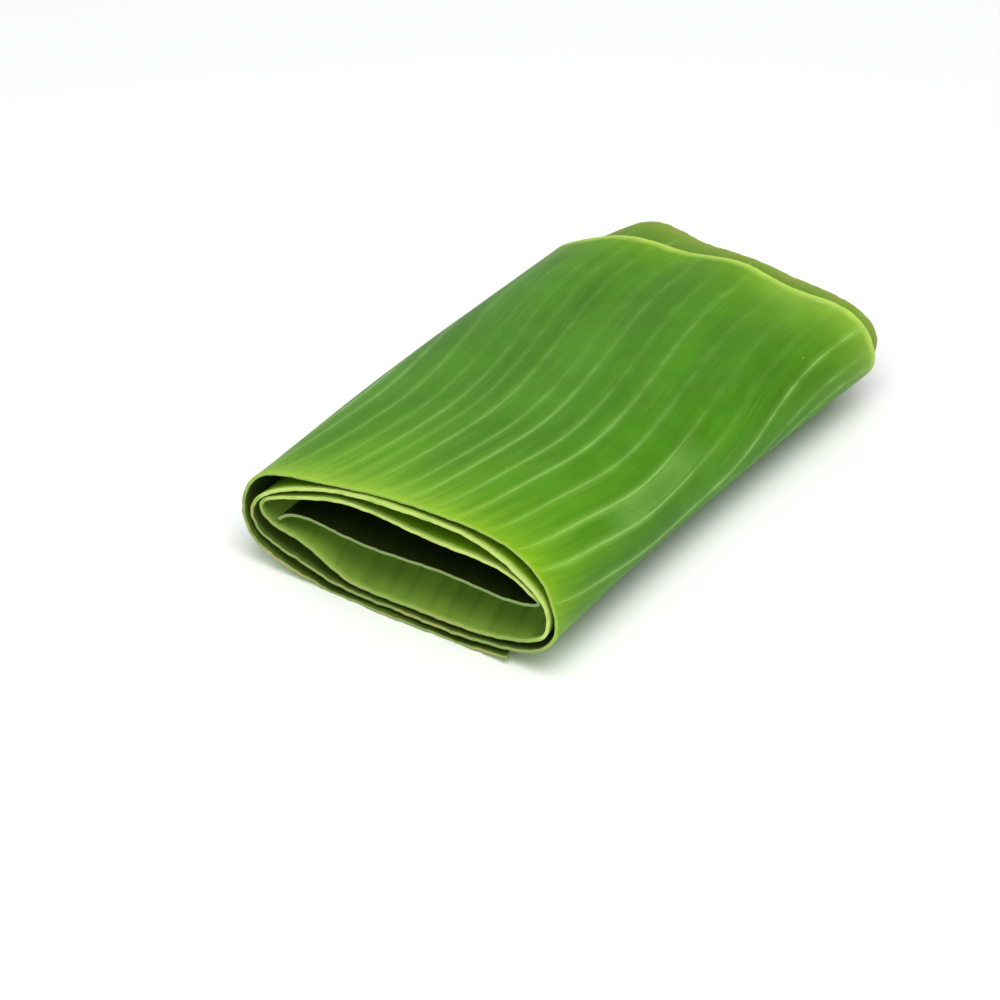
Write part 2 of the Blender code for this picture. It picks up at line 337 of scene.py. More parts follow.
def sole_height(x, along):
    """How high the underside lies above the table at a place across the cut and a share of the length."""
    lengthwise = 1 - (2 * along - 1) ** 2
    front = np.maximum(1 - ((x - FRONT_MIDDLE) / FRONT_REACH) ** 2, 0) * (1 - along)
    back = np.minimum(((x - BACK_TOUCH) / BACK_REACH) ** 2, 1) * along
    beside_patch = np.clip((np.abs(x) - PATCH_REACH) / PATCH_EDGE, 0, 1)
    beyond_patch = np.clip((np.abs(along - PATCH_MIDDLE) - PATCH_SHARE) / PATCH_END, 0, 1)
    return SOLE_BOW * (lengthwise + front + back) * np.minimum(np.hypot(beside_patch, beyond_patch), 1)


def middle_of_blade(place, along, outline, jag):
    """A point on the blade's middle surface, for arrays of places along the strip and along its length."""
    places, curve = outline
    x, z, forward, out = (np.interp(place, places, column) for column in curve.T)
    top = curve[:, 1].max()
    high = z - BLADE / 2
    closing = ease(along)
    side = x / HALF_WIDTH
    waist = np.where(side > 0, WAIST_RIGHT, BELLY_LEFT) * side**2 * np.sin(math.pi * along)
    lean = np.where(side > 0, FAR_LIFT_RIGHT, FAR_SINK_LEFT) * side**5
    drop = FAR_DROP * closing - lean * closing**2
    ripple_share = np.exp(-(1 - along) * LENGTH / RIPPLE_REACH) * (high / top) ** 2
    ripple = RIPPLE * np.cos(2 * math.pi * (x - RIPPLE_CREST) / RIPPLE_PITCH) * ripple_share
    cut = -LENGTH / 2 - forward + CUT_WANDER * np.sin(2 * math.pi * place / CUT_WANDER_PITCH) + jag
    margin = LENGTH / 2 + out + SCALLOP * np.sin(2 * math.pi * place / SCALLOP_PITCH) - jag
    y = cut + (margin - cut) * along
    flare = FLARE * (high / top) * (np.maximum(y - LENGTH / 2, 0) / FLARE_REACH) ** 2
    points = np.stack(
        [
            x * (1 + FAR_SPREAD * closing) + FAR_SHIFT * closing - waist,
            y,
            BLADE / 2 + high * (1 - drop) + ripple + flare,
        ],
        axis=-1,
    )
    sole = sole_height(x, along)
    on_table = points[..., 2] <= BLADE / 2 + sole
    points[..., 2] = np.maximum(points[..., 2], BLADE / 2 + sole)
    return points, sole, on_table


def packed_middle(outline):
    """The middle of the plain packet's box in the frame that the points above are given in."""
    rows = np.linspace(0, 1, BOX_ROWS)
    place = outline[0][::BOX_STEP][:, None] + 0 * rows
    points = middle_of_blade(place, np.broadcast_to(rows, place.shape), outline, 0)[0]
    half = BLADE / 2
    low = points.reshape(-1, 3).min(axis=0)
    high = points.reshape(-1, 3).max(axis=0)
    low[0] -= half
    high[0] += half
    return np.array([(low[0] + high[0]) / 2, (low[1] + high[1]) / 2, 0])


def highest_bend():
    """How far the side veins bend away at most."""
    return vein_bend(np.linspace(0, 1, BEND_SAMPLES)).max()


def top_lag():
    """How much further on a side vein's column is than the place that TOP_VEINS and STRAYS give for it."""
    return highest_bend() - vein_bend(np.array(TOP_VEINS_AT))


def vein_table(outline, sizes):
    """The side veins' columns from the inner end to the outer one, with their strength at front and back."""
    chance = np.random.default_rng(sizes.seed)
    lag = top_lag()
    known = [(place * MM + lag, front, back) for place, front, back in TOP_VEINS]

    def spaced(start, stop):
        found = []
        column = start + chance.uniform(sizes.vein_gap_low, sizes.vein_gap_high)
        while column < stop - LAST_GAP * sizes.vein_gap_low:
            found.append((column, chance.uniform(*FRONT_STRENGTHS), chance.uniform(*BACK_STRENGTHS)))
            column += chance.uniform(sizes.vein_gap_low, sizes.vein_gap_high)
        return found

    return spaced(0, known[0][0]) + known + spaced(known[-1][0], outline[0][-1])


def follow_veins(columns, along, outline):
    """Places along the strip for columns that run along the side veins."""
    follow = 1 - np.exp(-((columns / START_SPREAD) ** 2))
    lag = top_lag()
    stray = 0
    for place, from_cut, shift, across, lengthwise in STRAYS:
        beside = (columns - lag - place * MM) / (across * MM)
        beyond = (along * LENGTH - from_cut * MM) / (lengthwise * MM)
        stray = stray + shift * MM * np.exp(-(beside**2) - beyond**2)
    return np.clip(columns + follow * (vein_bend(along) - highest_bend()) + stray, 0, outline[0][-1])


def pass_look(name, place, outline):
    """One of the passes' looks at places along the strip: even on each pass and blended in the turns."""
    places, curve = outline
    stops, looks = [], []
    for title, _, path in PASSES:
        look = PASS_LOOKS[title][LOOKS.index(name)]
        for (x, z, _), value in zip((path[0], path[-1]), np.broadcast_to(look, 2)):
            distance = np.hypot(curve[:, 0] - x * MM, curve[:, 1] - z * MM)
            stops.append(places[distance.argmin()])
            looks.append(value)
    return np.interp(place, stops, looks)


def edge_jag(columns, outline, seed):
    """A small unevenness of a hand-cut edge, the same for every row of a column."""
    chance = np.random.default_rng(seed)
    waves = 0
    for pitch in JAG_PITCHES:
        waves = waves + np.sin(2 * math.pi * columns / pitch + chance.uniform(0, 2 * math.pi))
    return JAG * waves * pass_look("ragged", columns, outline)


def row_places():
    """Shares of the length for the mesh's rows: close together at both edges."""
    edge = np.array(EDGE_ROWS) * MM / LENGTH
    middle = np.linspace(edge[-1], 1 - edge[-1], MIDDLE_ROWS + 2)[1:-1]
    return np.concatenate([edge, middle, 1 - edge[::-1]])


def column_table(outline, veins, sizes):
    """Columns between the veins, and for each where it lies between its two veins and their distance."""
    places, curve = outline
    heading = np.unwrap(np.arctan2(np.gradient(curve[:, 1]), np.gradient(curve[:, 0])))
    turned = np.concatenate([[0], np.cumsum(np.abs(np.diff(heading)))])
    stops = np.concatenate([[0], [vein[0] for vein in veins], [places[-1]]])
    columns, shares, gaps = [], [], []
    for start, stop in zip(stops[:-1], stops[1:]):
        turn = np.interp(stop, places, turned) - np.interp(start, places, turned)
        count = math.ceil((stop - start) / sizes.column_step + turn / sizes.column_turn)
        count = max(LEAST_COLUMNS, count)
        share = np.arange(count) / count
        columns.append(start + (stop - start) * share)
        shares.append(share)
        gaps.append(np.full(count, stop - start))
    columns.append([stops[-1]])
    shares.append([1])
    gaps.append([stops[-1] - stops[-2]])
    return np.concatenate(columns), np.concatenate(shares), np.concatenate(gaps)


def pleat_profile(share, gap, along):
    """How far the blade arches out between two side veins, in pleat heights, from low at the veins."""
    wide = np.clip(gap / USUAL_GAP, *ARCH_LIMITS)
    at_cut = np.exp(-((along * LENGTH / ARCH_CUT_REACH) ** 2))
    inside = np.minimum((1 - along) * LENGTH / ARCH_MARGIN_REACH, 1)
    lengthwise = ARCH_INSIDE + (1 - ARCH_INSIDE) * at_cut
    lengthwise = lengthwise * (ARCH_AT_MARGIN + (1 - ARCH_AT_MARGIN) * inside)
    return (np.sin(math.pi * share) ** ARCH_POWER - ARCH_MIDDLE) * wide * lengthwise


def vein_strength(number, front, back, along):
    """A side vein's strength along it: from its front value to its back value, in soft dashes."""
    chance = np.random.default_rng(DASH_SEED + number)
    waves = 0
    for pitch in DASH_PITCHES:
        waves = waves + np.sin(2 * math.pi * along * LENGTH / pitch + chance.uniform(0, 2 * math.pi))
    fall = ease(np.clip((along - FALL_FROM) / FALL_LENGTH, 0, 1))
    dashes = 1 - (DASH_AT_FRONT + DASH_GAIN * fall) * (1 + waves / 2)
    return (front + (back - front) * fall) * dashes


def strip_parts(sizes):
    """The strip's outline, its side veins, and the mesh's columns between them."""
    outline = strip_outline()
    veins = vein_table(outline, sizes)
    return outline, veins, column_table(outline, veins, sizes)


def blade_at(columns, rows, outline, sizes):
    """For columns and shares of the length: places along the strip, and the blade's middle, sole and rest."""
    along = np.broadcast_to(rows, (len(columns), len(rows)))
    place = follow_veins(columns[:, None], along, outline)
    jag = edge_jag(columns, outline, sizes.seed)[:, None]
    return place, *middle_of_blade(place, along, outline, jag)


def outward_normal(points):
    across = np.gradient(points, axis=0)
    lengthwise = np.gradient(points, axis=1)
    normal = np.cross(lengthwise, across)
    return normal / np.linalg.norm(normal, axis=-1, keepdims=True)


def half_blade(along, sizes):
    """Half the blade's thickness at a share of the length."""
    at_cut = np.exp(-along * LENGTH / sizes.rim_reach)
    at_margin = np.exp(-(1 - along) * LENGTH / sizes.rim_reach)
    full = sizes.blade + (sizes.cut_rim - sizes.blade) * at_cut + (sizes.margin_rim - sizes.blade) * at_margin
    return full / 2


def rounded(inward, lip):
    """The share of its thickness that an edge has at a distance, in roundings, in from its end."""
    return lip + (1 - lip) * np.sqrt(1 - (1 - np.minimum(inward, 1)) ** 2)


# Meshes and node trees


def mesh_with_values(name, points, edges, faces, values):
    """A mesh with named float or vector values on its points."""
    mesh = bpy.data.meshes.new(name)
    mesh.from_pydata(points.reshape(-1, 3).tolist(), edges, faces)
    for key, value in values.items():
        vector = value.shape[-1] == 3 and value.size == points.size
        attribute = mesh.attributes.new(key, "FLOAT_VECTOR" if vector else "FLOAT", "POINT")
        attribute.data.foreach_set("vector" if vector else "value", value.astype(np.float32).ravel())
    return mesh


def add_node(tree, kind, inputs=None, **settings):
    """A new node with its settings, and with a value or a link for each named input."""
    node = tree.nodes.new(kind)
    for name, value in settings.items():
        setattr(node, name, value)
    for key, value in (inputs or {}).items():
        if isinstance(value, bpy.types.NodeSocket):
            tree.links.new(value, node.inputs[key])
        else:
            node.inputs[key].default_value = value
    return node


def calculate(tree, operation, first, second=0.0):
    return add_node(tree, "ShaderNodeMath", {0: first, 1: second}, operation=operation).outputs[0]


def product(tree, value, *factors):
    """The product of sockets and numbers."""
    for factor in factors:
        value = calculate(tree, "MULTIPLY", value, factor)
    return value


def named_value(tree, name, kind="FLOAT"):
    node = add_node(tree, "GeometryNodeInputNamedAttribute", {"Name": name}, data_type=kind)
    return next(socket for socket in node.outputs if socket.name == "Attribute" and socket.enabled)


def new_tree(name, inputs):
    """A Geometry Nodes tree with a mesh input and output and the named inputs."""
    tree = bpy.data.node_groups.new(name, "GeometryNodeTree")
    tree.interface.new_socket("Geometry", in_out="INPUT", socket_type="NodeSocketGeometry")
    for label, kind in inputs.items():
        tree.interface.new_socket(label, in_out="INPUT", socket_type="NodeSocket" + kind)
    tree.interface.new_socket("Geometry", in_out="OUTPUT", socket_type="NodeSocketGeometry")
    return tree, tree.nodes.new("NodeGroupInput"), tree.nodes.new("NodeGroupOutput")


def blade_tree():
    """Gives a doubled middle surface its thickness and pleats, and its four finishes."""
    tree, given, result = new_tree("leaf_blade", {
        "Blade thickness": "Float", "Thickness at the cut": "Float", "Thickness at the margin": "Float",
        "Rim reach": "Float", "Pleat height": "Float", "Upper side": "Material", "Under side": "Material",
        "Cut edge": "Material", "Margin edge": "Material",
    })
    blade = given.outputs["Blade thickness"]

    def rim(distance_name, label):
        distance = calculate(tree, "DIVIDE", named_value(tree, distance_name), given.outputs["Rim reach"])
        share = calculate(tree, "EXPONENT", product(tree, distance, -1.0))
        return product(tree, share, calculate(tree, "SUBTRACT", given.outputs[label], blade))

    rims = calculate(
        tree, "ADD", rim("from_cut", "Thickness at the cut"), rim("from_margin", "Thickness at the margin"),
    )
    full = calculate(tree, "ADD", blade, rims)
    side = named_value(tree, "blade_side")
    half = product(tree, full, 0.5, named_value(tree, "lip"), side)
    pleat = product(tree, named_value(tree, "pleat"), given.outputs["Pleat height"])
    push = calculate(tree, "ADD", half, pleat)
    offset = add_node(
        tree, "ShaderNodeVectorMath",
        {0: named_value(tree, "outward", "FLOAT_VECTOR"), "Scale": push}, operation="SCALE",
    ).outputs[0]
    moved = add_node(tree, "GeometryNodeSetPosition", {
        "Geometry": given.outputs["Geometry"], "Offset": offset,
    })

    position = add_node(tree, "GeometryNodeInputPosition").outputs[0]
    place = add_node(tree, "ShaderNodeSeparateXYZ", {0: position})
    sole = named_value(tree, "sole")
    raised = calculate(tree, "MAXIMUM", place.outputs["Z"], sole)
    below = calculate(tree, "MAXIMUM", side, 0.0)
    resting = product(tree, named_value(tree, "on_table"), below)
    lowered = product(tree, calculate(tree, "SUBTRACT", sole, raised), resting)
    height = calculate(tree, "ADD", raised, lowered)
    settled = add_node(tree, "ShaderNodeCombineXYZ", {
        "X": place.outputs["X"], "Y": place.outputs["Y"], "Z": height,
    })
    mesh = add_node(tree, "GeometryNodeSetPosition", {
        "Geometry": moved.outputs[0], "Position": settled.outputs[0],
    }).outputs[0]
    mesh = add_node(tree, "GeometryNodeRealizeInstances", {"Geometry": mesh}).outputs[0]
    finish = named_value(tree, "finish")
    for number, label in enumerate(("Upper side", "Under side", "Cut edge", "Margin edge")):
        least = number - 0.5
        chosen = add_node(tree, "FunctionNodeCompare", {0: finish, 1: least}, operation="GREATER_THAN")
        mesh = add_node(tree, "GeometryNodeSetMaterial", {
            "Geometry": mesh, "Selection": chosen.outputs[0], "Material": given.outputs[label],
        }).outputs[0]
    tree.links.new(mesh, result.inputs[0])
    return tree


def cord_tree():
    """Sweeps a round cord along each line, as thick as the blade and its relief together."""
    tree, given, result = new_tree("leaf_cords", {
        "Relief": "Float", "Sides": "Int", "Finish": "Material",
    })
    lines = add_node(tree, "GeometryNodeMeshToCurve", {"Mesh": given.outputs["Geometry"]}).outputs[0]
    proud = product(tree, named_value(tree, "strength"), given.outputs["Relief"])
    radius = calculate(tree, "ADD", named_value(tree, "half_blade"), proud)
    ring = add_node(tree, "GeometryNodeCurvePrimitiveCircle", {
        "Resolution": given.outputs["Sides"], "Radius": 1.0,
    })
    sweep = add_node(tree, "GeometryNodeCurveToMesh", {
        "Curve": lines, "Profile Curve": ring.outputs[0], "Scale": radius, "Fill Caps": True,
    })
    mesh = add_node(tree, "GeometryNodeSetShadeSmooth", {"Geometry": sweep.outputs[0]}).outputs[0]
    mesh = add_node(tree, "GeometryNodeRealizeInstances", {"Geometry": mesh}).outputs[0]
    mesh = add_node(tree, "GeometryNodeSetMaterial", {
        "Geometry": mesh, "Material": given.outputs["Finish"],
    }).outputs[0]
    tree.links.new(mesh, result.inputs[0])
    return tree


def grown(name, mesh, tree, values):
    """An object with the plain mesh that the tree makes of the given one."""
    source = bpy.data.objects.new(name + "_source", mesh)
    bpy.context.scene.collection.objects.link(source)
    modifier = source.modifiers.new(tree.name, "NODES")
    modifier.node_group = tree
    sockets = {item.name: item.identifier for item in tree.interface.items_tree if item.in_out == "INPUT"}
    for label, value in values.items():
        modifier[sockets[label]] = value
    graph = bpy.context.evaluated_depsgraph_get()
    made = bpy.data.meshes.new_from_object(
        source.evaluated_get(graph), preserve_all_data_layers=True, depsgraph=graph
    )
    source.modifiers.remove(modifier)
    bpy.data.objects.remove(source)
    bpy.data.meshes.remove(mesh)
    made.name = name
    piece = bpy.data.objects.new(name, made)
    bpy.context.scene.collection.objects.link(piece)
    return piece


def join_to_packet(piece):
    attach(piece, "root")
    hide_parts("banana_leaf")


# Finishes


def mixed(tree, share, first, second):
    """A colour between two others, each a socket or the three parts of a colour."""
    pair = [item if isinstance(item, bpy.types.NodeSocket) else (*item, 1) for item in (first, second)]
    return add_node(tree, "ShaderNodeMix", {0: share, 6: pair[0], 7: pair[1]}, data_type="RGBA").outputs[2]


def laid(tree, colour, over, *shares):
    """A colour with another laid over it, as strongly as the shares' product."""
    return mixed(tree, product(tree, *shares), colour, over)


def darkened(colour, share):
    return [share * part for part in colour]


def fade(tree, value, start, stop):
    """0 where the value is at start, 1 where it is at stop, and smooth between."""
    node = add_node(
        tree, "ShaderNodeMapRange", {"Value": value, "From Min": start, "From Max": stop},
        interpolation_type="SMOOTHSTEP",
    )
    return node.outputs[0]


def blade_value(tree, name):
    return add_node(tree, "ShaderNodeAttribute", attribute_name=name).outputs["Fac"]


def streaks(tree, name):
    """Noise in the blade's own grain, by its name in GRAINS."""
    across, along, detail, shift = GRAINS[name]
    vector = add_node(tree, "ShaderNodeCombineXYZ", {
        "X": product(tree, blade_value(tree, "column"), across),
        "Y": product(tree, blade_value(tree, "from_cut"), along),
        "Z": shift,
    })
    noise = add_node(tree, "ShaderNodeTexNoise", {
        "Vector": vector.outputs[0], "Scale": 1.0, "Detail": detail, "Roughness": GRAIN_ROUGHNESS,
    })
    return noise.outputs["Fac"]


def spots(tree, name):
    """Spots and stripes of a grain, from 0 to 1."""
    return fade(tree, streaks(tree, name), *FADES[name])


def new_finish(name):
    material = bpy.data.materials.new(name)
    material.use_nodes = True
    tree = material.node_tree
    return material, tree, tree.nodes["Principled BSDF"]


def dying_out(tree, distance, reach):
    """1 at no distance, and less and less with it."""
    return calculate(tree, "EXPONENT", product(tree, distance, -1 / reach))


def raised_grain(tree, shader, height, strength):
    grain = add_node(tree, "ShaderNodeBump", {
        "Height": height, "Strength": strength, "Distance": GRAIN_HEIGHT,
    })
    tree.links.new(grain.outputs[0], shader.inputs["Normal"])


def painted_pleat_highlight(tree, column, from_cut):
    """1 on the painted pleat highlight between two side veins of the outer top, and 0 elsewhere."""
    share = 1.0
    for value, (low, high), soft in (
        (column, PLEAT_HIGHLIGHT_COLUMNS, PLEAT_HIGHLIGHT_SIDE_FADE),
        (from_cut, PLEAT_HIGHLIGHT_ROWS, PLEAT_HIGHLIGHT_END_FADE),
    ):
        share = product(tree, fade(tree, value, low, low + soft), share)
        share = product(tree, fade(tree, value, high, high - soft), share)
    return share


def green_blade(tree, colours, side, inward, fibres):
    """The blade's greens from its stripes up to its fibres, flecks and specks, with painted pleat shade and a
    painted pleat highlight.
    """
    from_cut = blade_value(tree, "from_cut")
    from_margin = blade_value(tree, "from_margin")
    fresh_margin = blade_value(tree, "fresh_margin")
    column = blade_value(tree, "column")
    green, deep, freshness = side["green"], side["deep"], side["freshness"]

    young = product(tree, dying_out(tree, inward, colours.young_reach), SHARES["young"] * freshness)
    behind = dying_out(tree, from_margin, YOUNG_BEHIND * colours.young_reach)
    behind = product(tree, behind, SHARES["young behind"], fade(tree, fresh_margin, *FADES["young behind"]))
    # Soft bands of deeper green: partly the blade's own uneven tone, partly painted shade of broad pleats
    colour = mixed(tree, spots(tree, "tone and pleat shade"), green, deep)
    colour = mixed(tree, calculate(tree, "MAXIMUM", young, behind), colour, colours.young)

    vein = mixed(tree, dying_out(tree, from_cut, colours.young_reach), colours.vein, colours.fresh_pale)
    colour = laid(tree, colour, vein, blade_value(tree, "vein_near"), SHARES["veins"] * freshness)
    # Painted shade: darker lines over the side veins, where the pleats shade the under side
    pleat_shade = darkened(deep, DARKEST)
    colour = laid(tree, colour, pleat_shade, blade_value(tree, "vein_line"), side["painted_pleat_shade"])

    # Yellow-green beside the cut, turning paler towards the left as a painted sheen
    fresh = mixed(tree, fade(tree, column, *PALE_SHEEN_COLUMNS), colours.fresh, colours.fresh_pale)
    colour = laid(tree, colour, fresh, dying_out(tree, inward, colours.fresh_reach), freshness)
    fresh_behind = product(tree, dying_out(tree, from_margin, colours.fresh_reach), fresh_margin)
    colour = laid(tree, colour, colours.fresh, fresh_behind, SHARES["fresh behind"] * freshness)
    sunny = product(tree, dying_out(tree, from_margin, SUNNY_REACH), fade(tree, column, *SUNNY_COLUMNS))
    colour = laid(tree, colour, colours.margin, sunny, fresh_margin, SHARES["sunny"] * freshness)

    dark_fibres = fade(tree, fibres, *FADES["dark fibres"])
    colour = laid(tree, colour, deep, dark_fibres, SHARES["dark fibres"])
    pale_fibres = fade(tree, fibres, *FADES["pale fibres"])
    colour = laid(tree, colour, colours.vein, pale_fibres, SHARES["pale fibres"])
    # Painted highlight on a broad pleat of the outer top
    colour = laid(tree, colour, colours.vein, painted_pleat_highlight(tree, column, from_cut), SHARES["pleat highlight"] * freshness)
    colour = laid(tree, colour, deep, spots(tree, "flecks"), young, SHARES["flecks"])
    return laid(tree, colour, colours.fresh_pale, spots(tree, "specks"), SHARES["specks"])


def pale_and_dry_edges(tree, colours, colour, deep, wander):
    """A colour with the paler, aged and dry places beside the cut and the margin laid over it."""
    from_margin = blade_value(tree, "from_margin")
    fresh_margin = blade_value(tree, "fresh_margin")
    beside_cut = fade(tree, blade_value(tree, "from_cut"), colours.cut_reach, CUT_CORE * colours.cut_reach)
    colour = laid(tree, colour, colours.cut, beside_cut, blade_value(tree, "pale_beside_cut"))
    edge_place = calculate(tree, "ADD", from_margin, product(tree, wander, MARGIN_WANDER))
    edge = fade(tree, edge_place, colours.margin_reach, 0.0)
    colour = laid(tree, colour, colours.margin, edge, fresh_margin)
    stale = calculate(tree, "SUBTRACT", AGELESS, fresh_margin)
    colour = laid(tree, colour, colours.dry, spots(tree, "dry margin"), edge, stale, SHARES["dry margin"])
    colour = laid(tree, colour, deep, dying_out(tree, from_margin, AGED_REACH), stale, SHARES["aged"])
    browned = dying_out(tree, from_margin, BROWNED_REACH)
    return laid(tree, colour, colours.dry, browned, stale, SHARES["browned"])


def blade_finish(name, colours, side):
    """The blade's upper or under side: fine fibres along the veins, soft stripes and paler edges.

    The soft stripes are partly painted pleat shade, and the inward side carries painted shade and light.
    """
    material, tree, shader = new_finish(name)
    fibres = streaks(tree, "fibres")
    blotches = streaks(tree, "blotches")
    from_cut = blade_value(tree, "from_cut")
    wander = calculate(tree, "SUBTRACT", blotches, 0.5)
    fringe = product(tree, calculate(tree, "SUBTRACT", streaks(tree, "fringe"), 0.5), FRINGE)
    stretch = calculate(tree, "POWER", 2.0, calculate(tree, "ADD", fringe, wander))
    colour = green_blade(tree, colours, side, product(tree, from_cut, stretch), fibres)

    # Painted shade: the inward side turns darker towards the cut
    painted_cut_shade = darkened(side["deep"], DARKEST)
    colour = laid(tree, colour, painted_cut_shade, dying_out(tree, from_cut, PAINTED_CUT_SHADE_REACH), side["painted_cut_shade"])
    clouds = product(tree, streaks(tree, "clouds"), CLOUD_SHARE)
    uneven = calculate(tree, "ADD", clouds, product(tree, blotches, BLOTCH_SHARE))
    uneven = calculate(tree, "ADD", uneven, 1 - (CLOUD_SHARE + BLOTCH_SHARE) / 2)
    # Painted shade and light: the inward side's colour is scaled darker on passes deep in the hollow, lighter
    # on others
    painted_shade_and_light = product(tree, blade_value(tree, "painted_shade_and_light"), uneven)
    scaled = add_node(tree, "ShaderNodeVectorMath", {0: colour, "Scale": painted_shade_and_light}, operation="SCALE")
    colour = pale_and_dry_edges(tree, colours, scaled.outputs[0], side["deep"], wander)
    tree.links.new(colour, shader.inputs["Base Color"])

    rough = calculate(tree, "ADD", side["least_roughness"], product(tree, fibres, BLADE_ROUGHNESS_SWING))
    tree.links.new(rough, shader.inputs["Roughness"])
    raised_grain(tree, shader, fibres, side["relief"])
    shader.inputs["Specular IOR Level"].default_value = 0.1
    shader.inputs["Coat Weight"].default_value = side["gloss"]
    shader.inputs["Coat Roughness"].default_value = 0.28
    return material


def edge_finish(name, colours, pale, look, dryness, dry_share):
    """A cut or natural edge: pale on the passes where that look is high, with greener and drier places."""
    material, tree, shader = new_finish(name)
    ends = streaks(tree, "cut ends")
    green = colours.cut_green
    colour = mixed(tree, spots(tree, "cut patches"), pale, green)
    colour = laid(tree, colour, green, fade(tree, ends, *FADES["cut ends"]), SHARES["cut ends"])
    colour = mixed(tree, fade(tree, blade_value(tree, look), 0.5, 1.0), green, colour)
    colour = mixed(tree, fade(tree, blade_value(tree, look), 0.0, 0.5), colours.dull, colour)
    colour = laid(tree, colour, colours.dry, spots(tree, "dry cut"), blade_value(tree, dryness), dry_share)
    tree.links.new(colour, shader.inputs["Base Color"])
    raised_grain(tree, shader, ends, CUT_GRAIN)
    shader.inputs["Roughness"].default_value = 0.55
    shader.inputs["Specular IOR Level"].default_value = 0.25
    return material


def margin_finish(name, colours):
    """The natural edge's finish, pale where it is fresh."""
    return edge_finish(name, colours, colours.margin, "fresh_margin", "fresh_margin", MARGIN_DRY_SHARE)


def vein_finish(name, colours):
    """The side veins: pale where they are strong and near the cut, and close to the blade's green beyond."""
    material, tree, shader = new_finish(name)
    fibres = streaks(tree, "vein fibres")
    from_cut = blade_value(tree, "from_cut")
    strong = fade(tree, blade_value(tree, "strength"), 0.0, STRONG_VEIN)
    young = dying_out(tree, from_cut, colours.young_reach)
    pale = dying_out(tree, from_cut, colours.fresh_reach)
    colour = mixed(tree, strong, colours.upper, colours.vein)
    colour = laid(tree, colour, colours.young, young, SHARES["young vein"])
    colour = laid(tree, colour, colours.fresh_pale, pale, strong, SHARES["pale vein"])
    dark_fibres = fade(tree, fibres, *FADES["vein fibres"])
    colour = laid(tree, colour, colours.upper, dark_fibres, SHARES["vein fibres"])
    tree.links.new(colour, shader.inputs["Base Color"])
    rough = calculate(tree, "ADD", VEIN_ROUGHNESS, product(tree, fibres, VEIN_ROUGHNESS_SWING))
    tree.links.new(rough, shader.inputs["Roughness"])
    shader.inputs["Specular IOR Level"].default_value = 0.2
    return material


# Settings


def length_property(label, description, default, least=0.0, digits=5):
    return bpy.props.FloatProperty(
        name=label, description=description, default=default, min=least, precision=digits, unit="LENGTH",
    )


def reach_property(label, description, default):
    return length_property(label, description, default, 0.1 * MM, 4)


def colour_property(label, description, default):
    return bpy.props.FloatVectorProperty(
        name=label, description=description, default=default, min=0.0, max=1.0, subtype="COLOR", size=3,
    )


def power_property(label, description, default):
    return bpy.props.FloatProperty(
        name=label, description=description, default=default, min=0.0, unit="POWER",
    )


def angle_property(label, description, degrees, least=-360.0):
    return bpy.props.FloatProperty(
        name=label, description=description, default=math.radians(degrees), min=math.radians(least),
        subtype="ANGLE",
    )


class LeafSizes(bpy.types.PropertyGroup):
    """Sizes of the blade and its veins."""

    blade: length_property("Blade thickness", "Thickness of the blade between its edges", BLADE)
    cut_rim: length_property(
        "Thickness at the cut", "Thickness where a little of the midrib stays on", 2.1 * MM,
    )
    margin_rim: length_property(
        "Thickness at the margin", "Thickness at the leaf's natural edge", 0.7 * MM,
    )
    rim_reach: length_property(
        "Rim reach", "How far in the thicker and thinner rims reach", 5 * MM, 0.1 * MM,
    )
    pleat: length_property(
        "Pleat height", "How far the blade arches between two side veins", 0.15 * MM,
    )
    vein_relief: length_property(
        "Vein relief", "How far the strongest side vein stands out of the blade", 0.16 * MM,
    )
    margin_relief: length_property(
        "Margin relief", "How far the cord in the margin stands out of the blade", 0.22 * MM,
    )
    vein_gap_low: length_property(
        "Least vein distance", "Least distance between two side veins", 11 * MM, 1 * MM, 4,
    )
    vein_gap_high: length_property(
        "Greatest vein distance", "Greatest distance between two side veins", 19 * MM, 1 * MM, 4,
    )
    column_step: length_property(
        "Mesh step", "Width of a mesh column on the flats", 2.6 * MM, 0.5 * MM, 4,
    )
    column_turn: angle_property("Mesh turn", "Turn of a mesh column in the folds", 11.0, 0.5)
    vein_sides: bpy.props.IntProperty(
        name="Vein sides", description="Sides of a side vein's round section", default=8, min=3,
    )
    seed: bpy.props.IntProperty(
        name="Seed", description="Seed of the side veins' distances and strengths", default=7,
    )


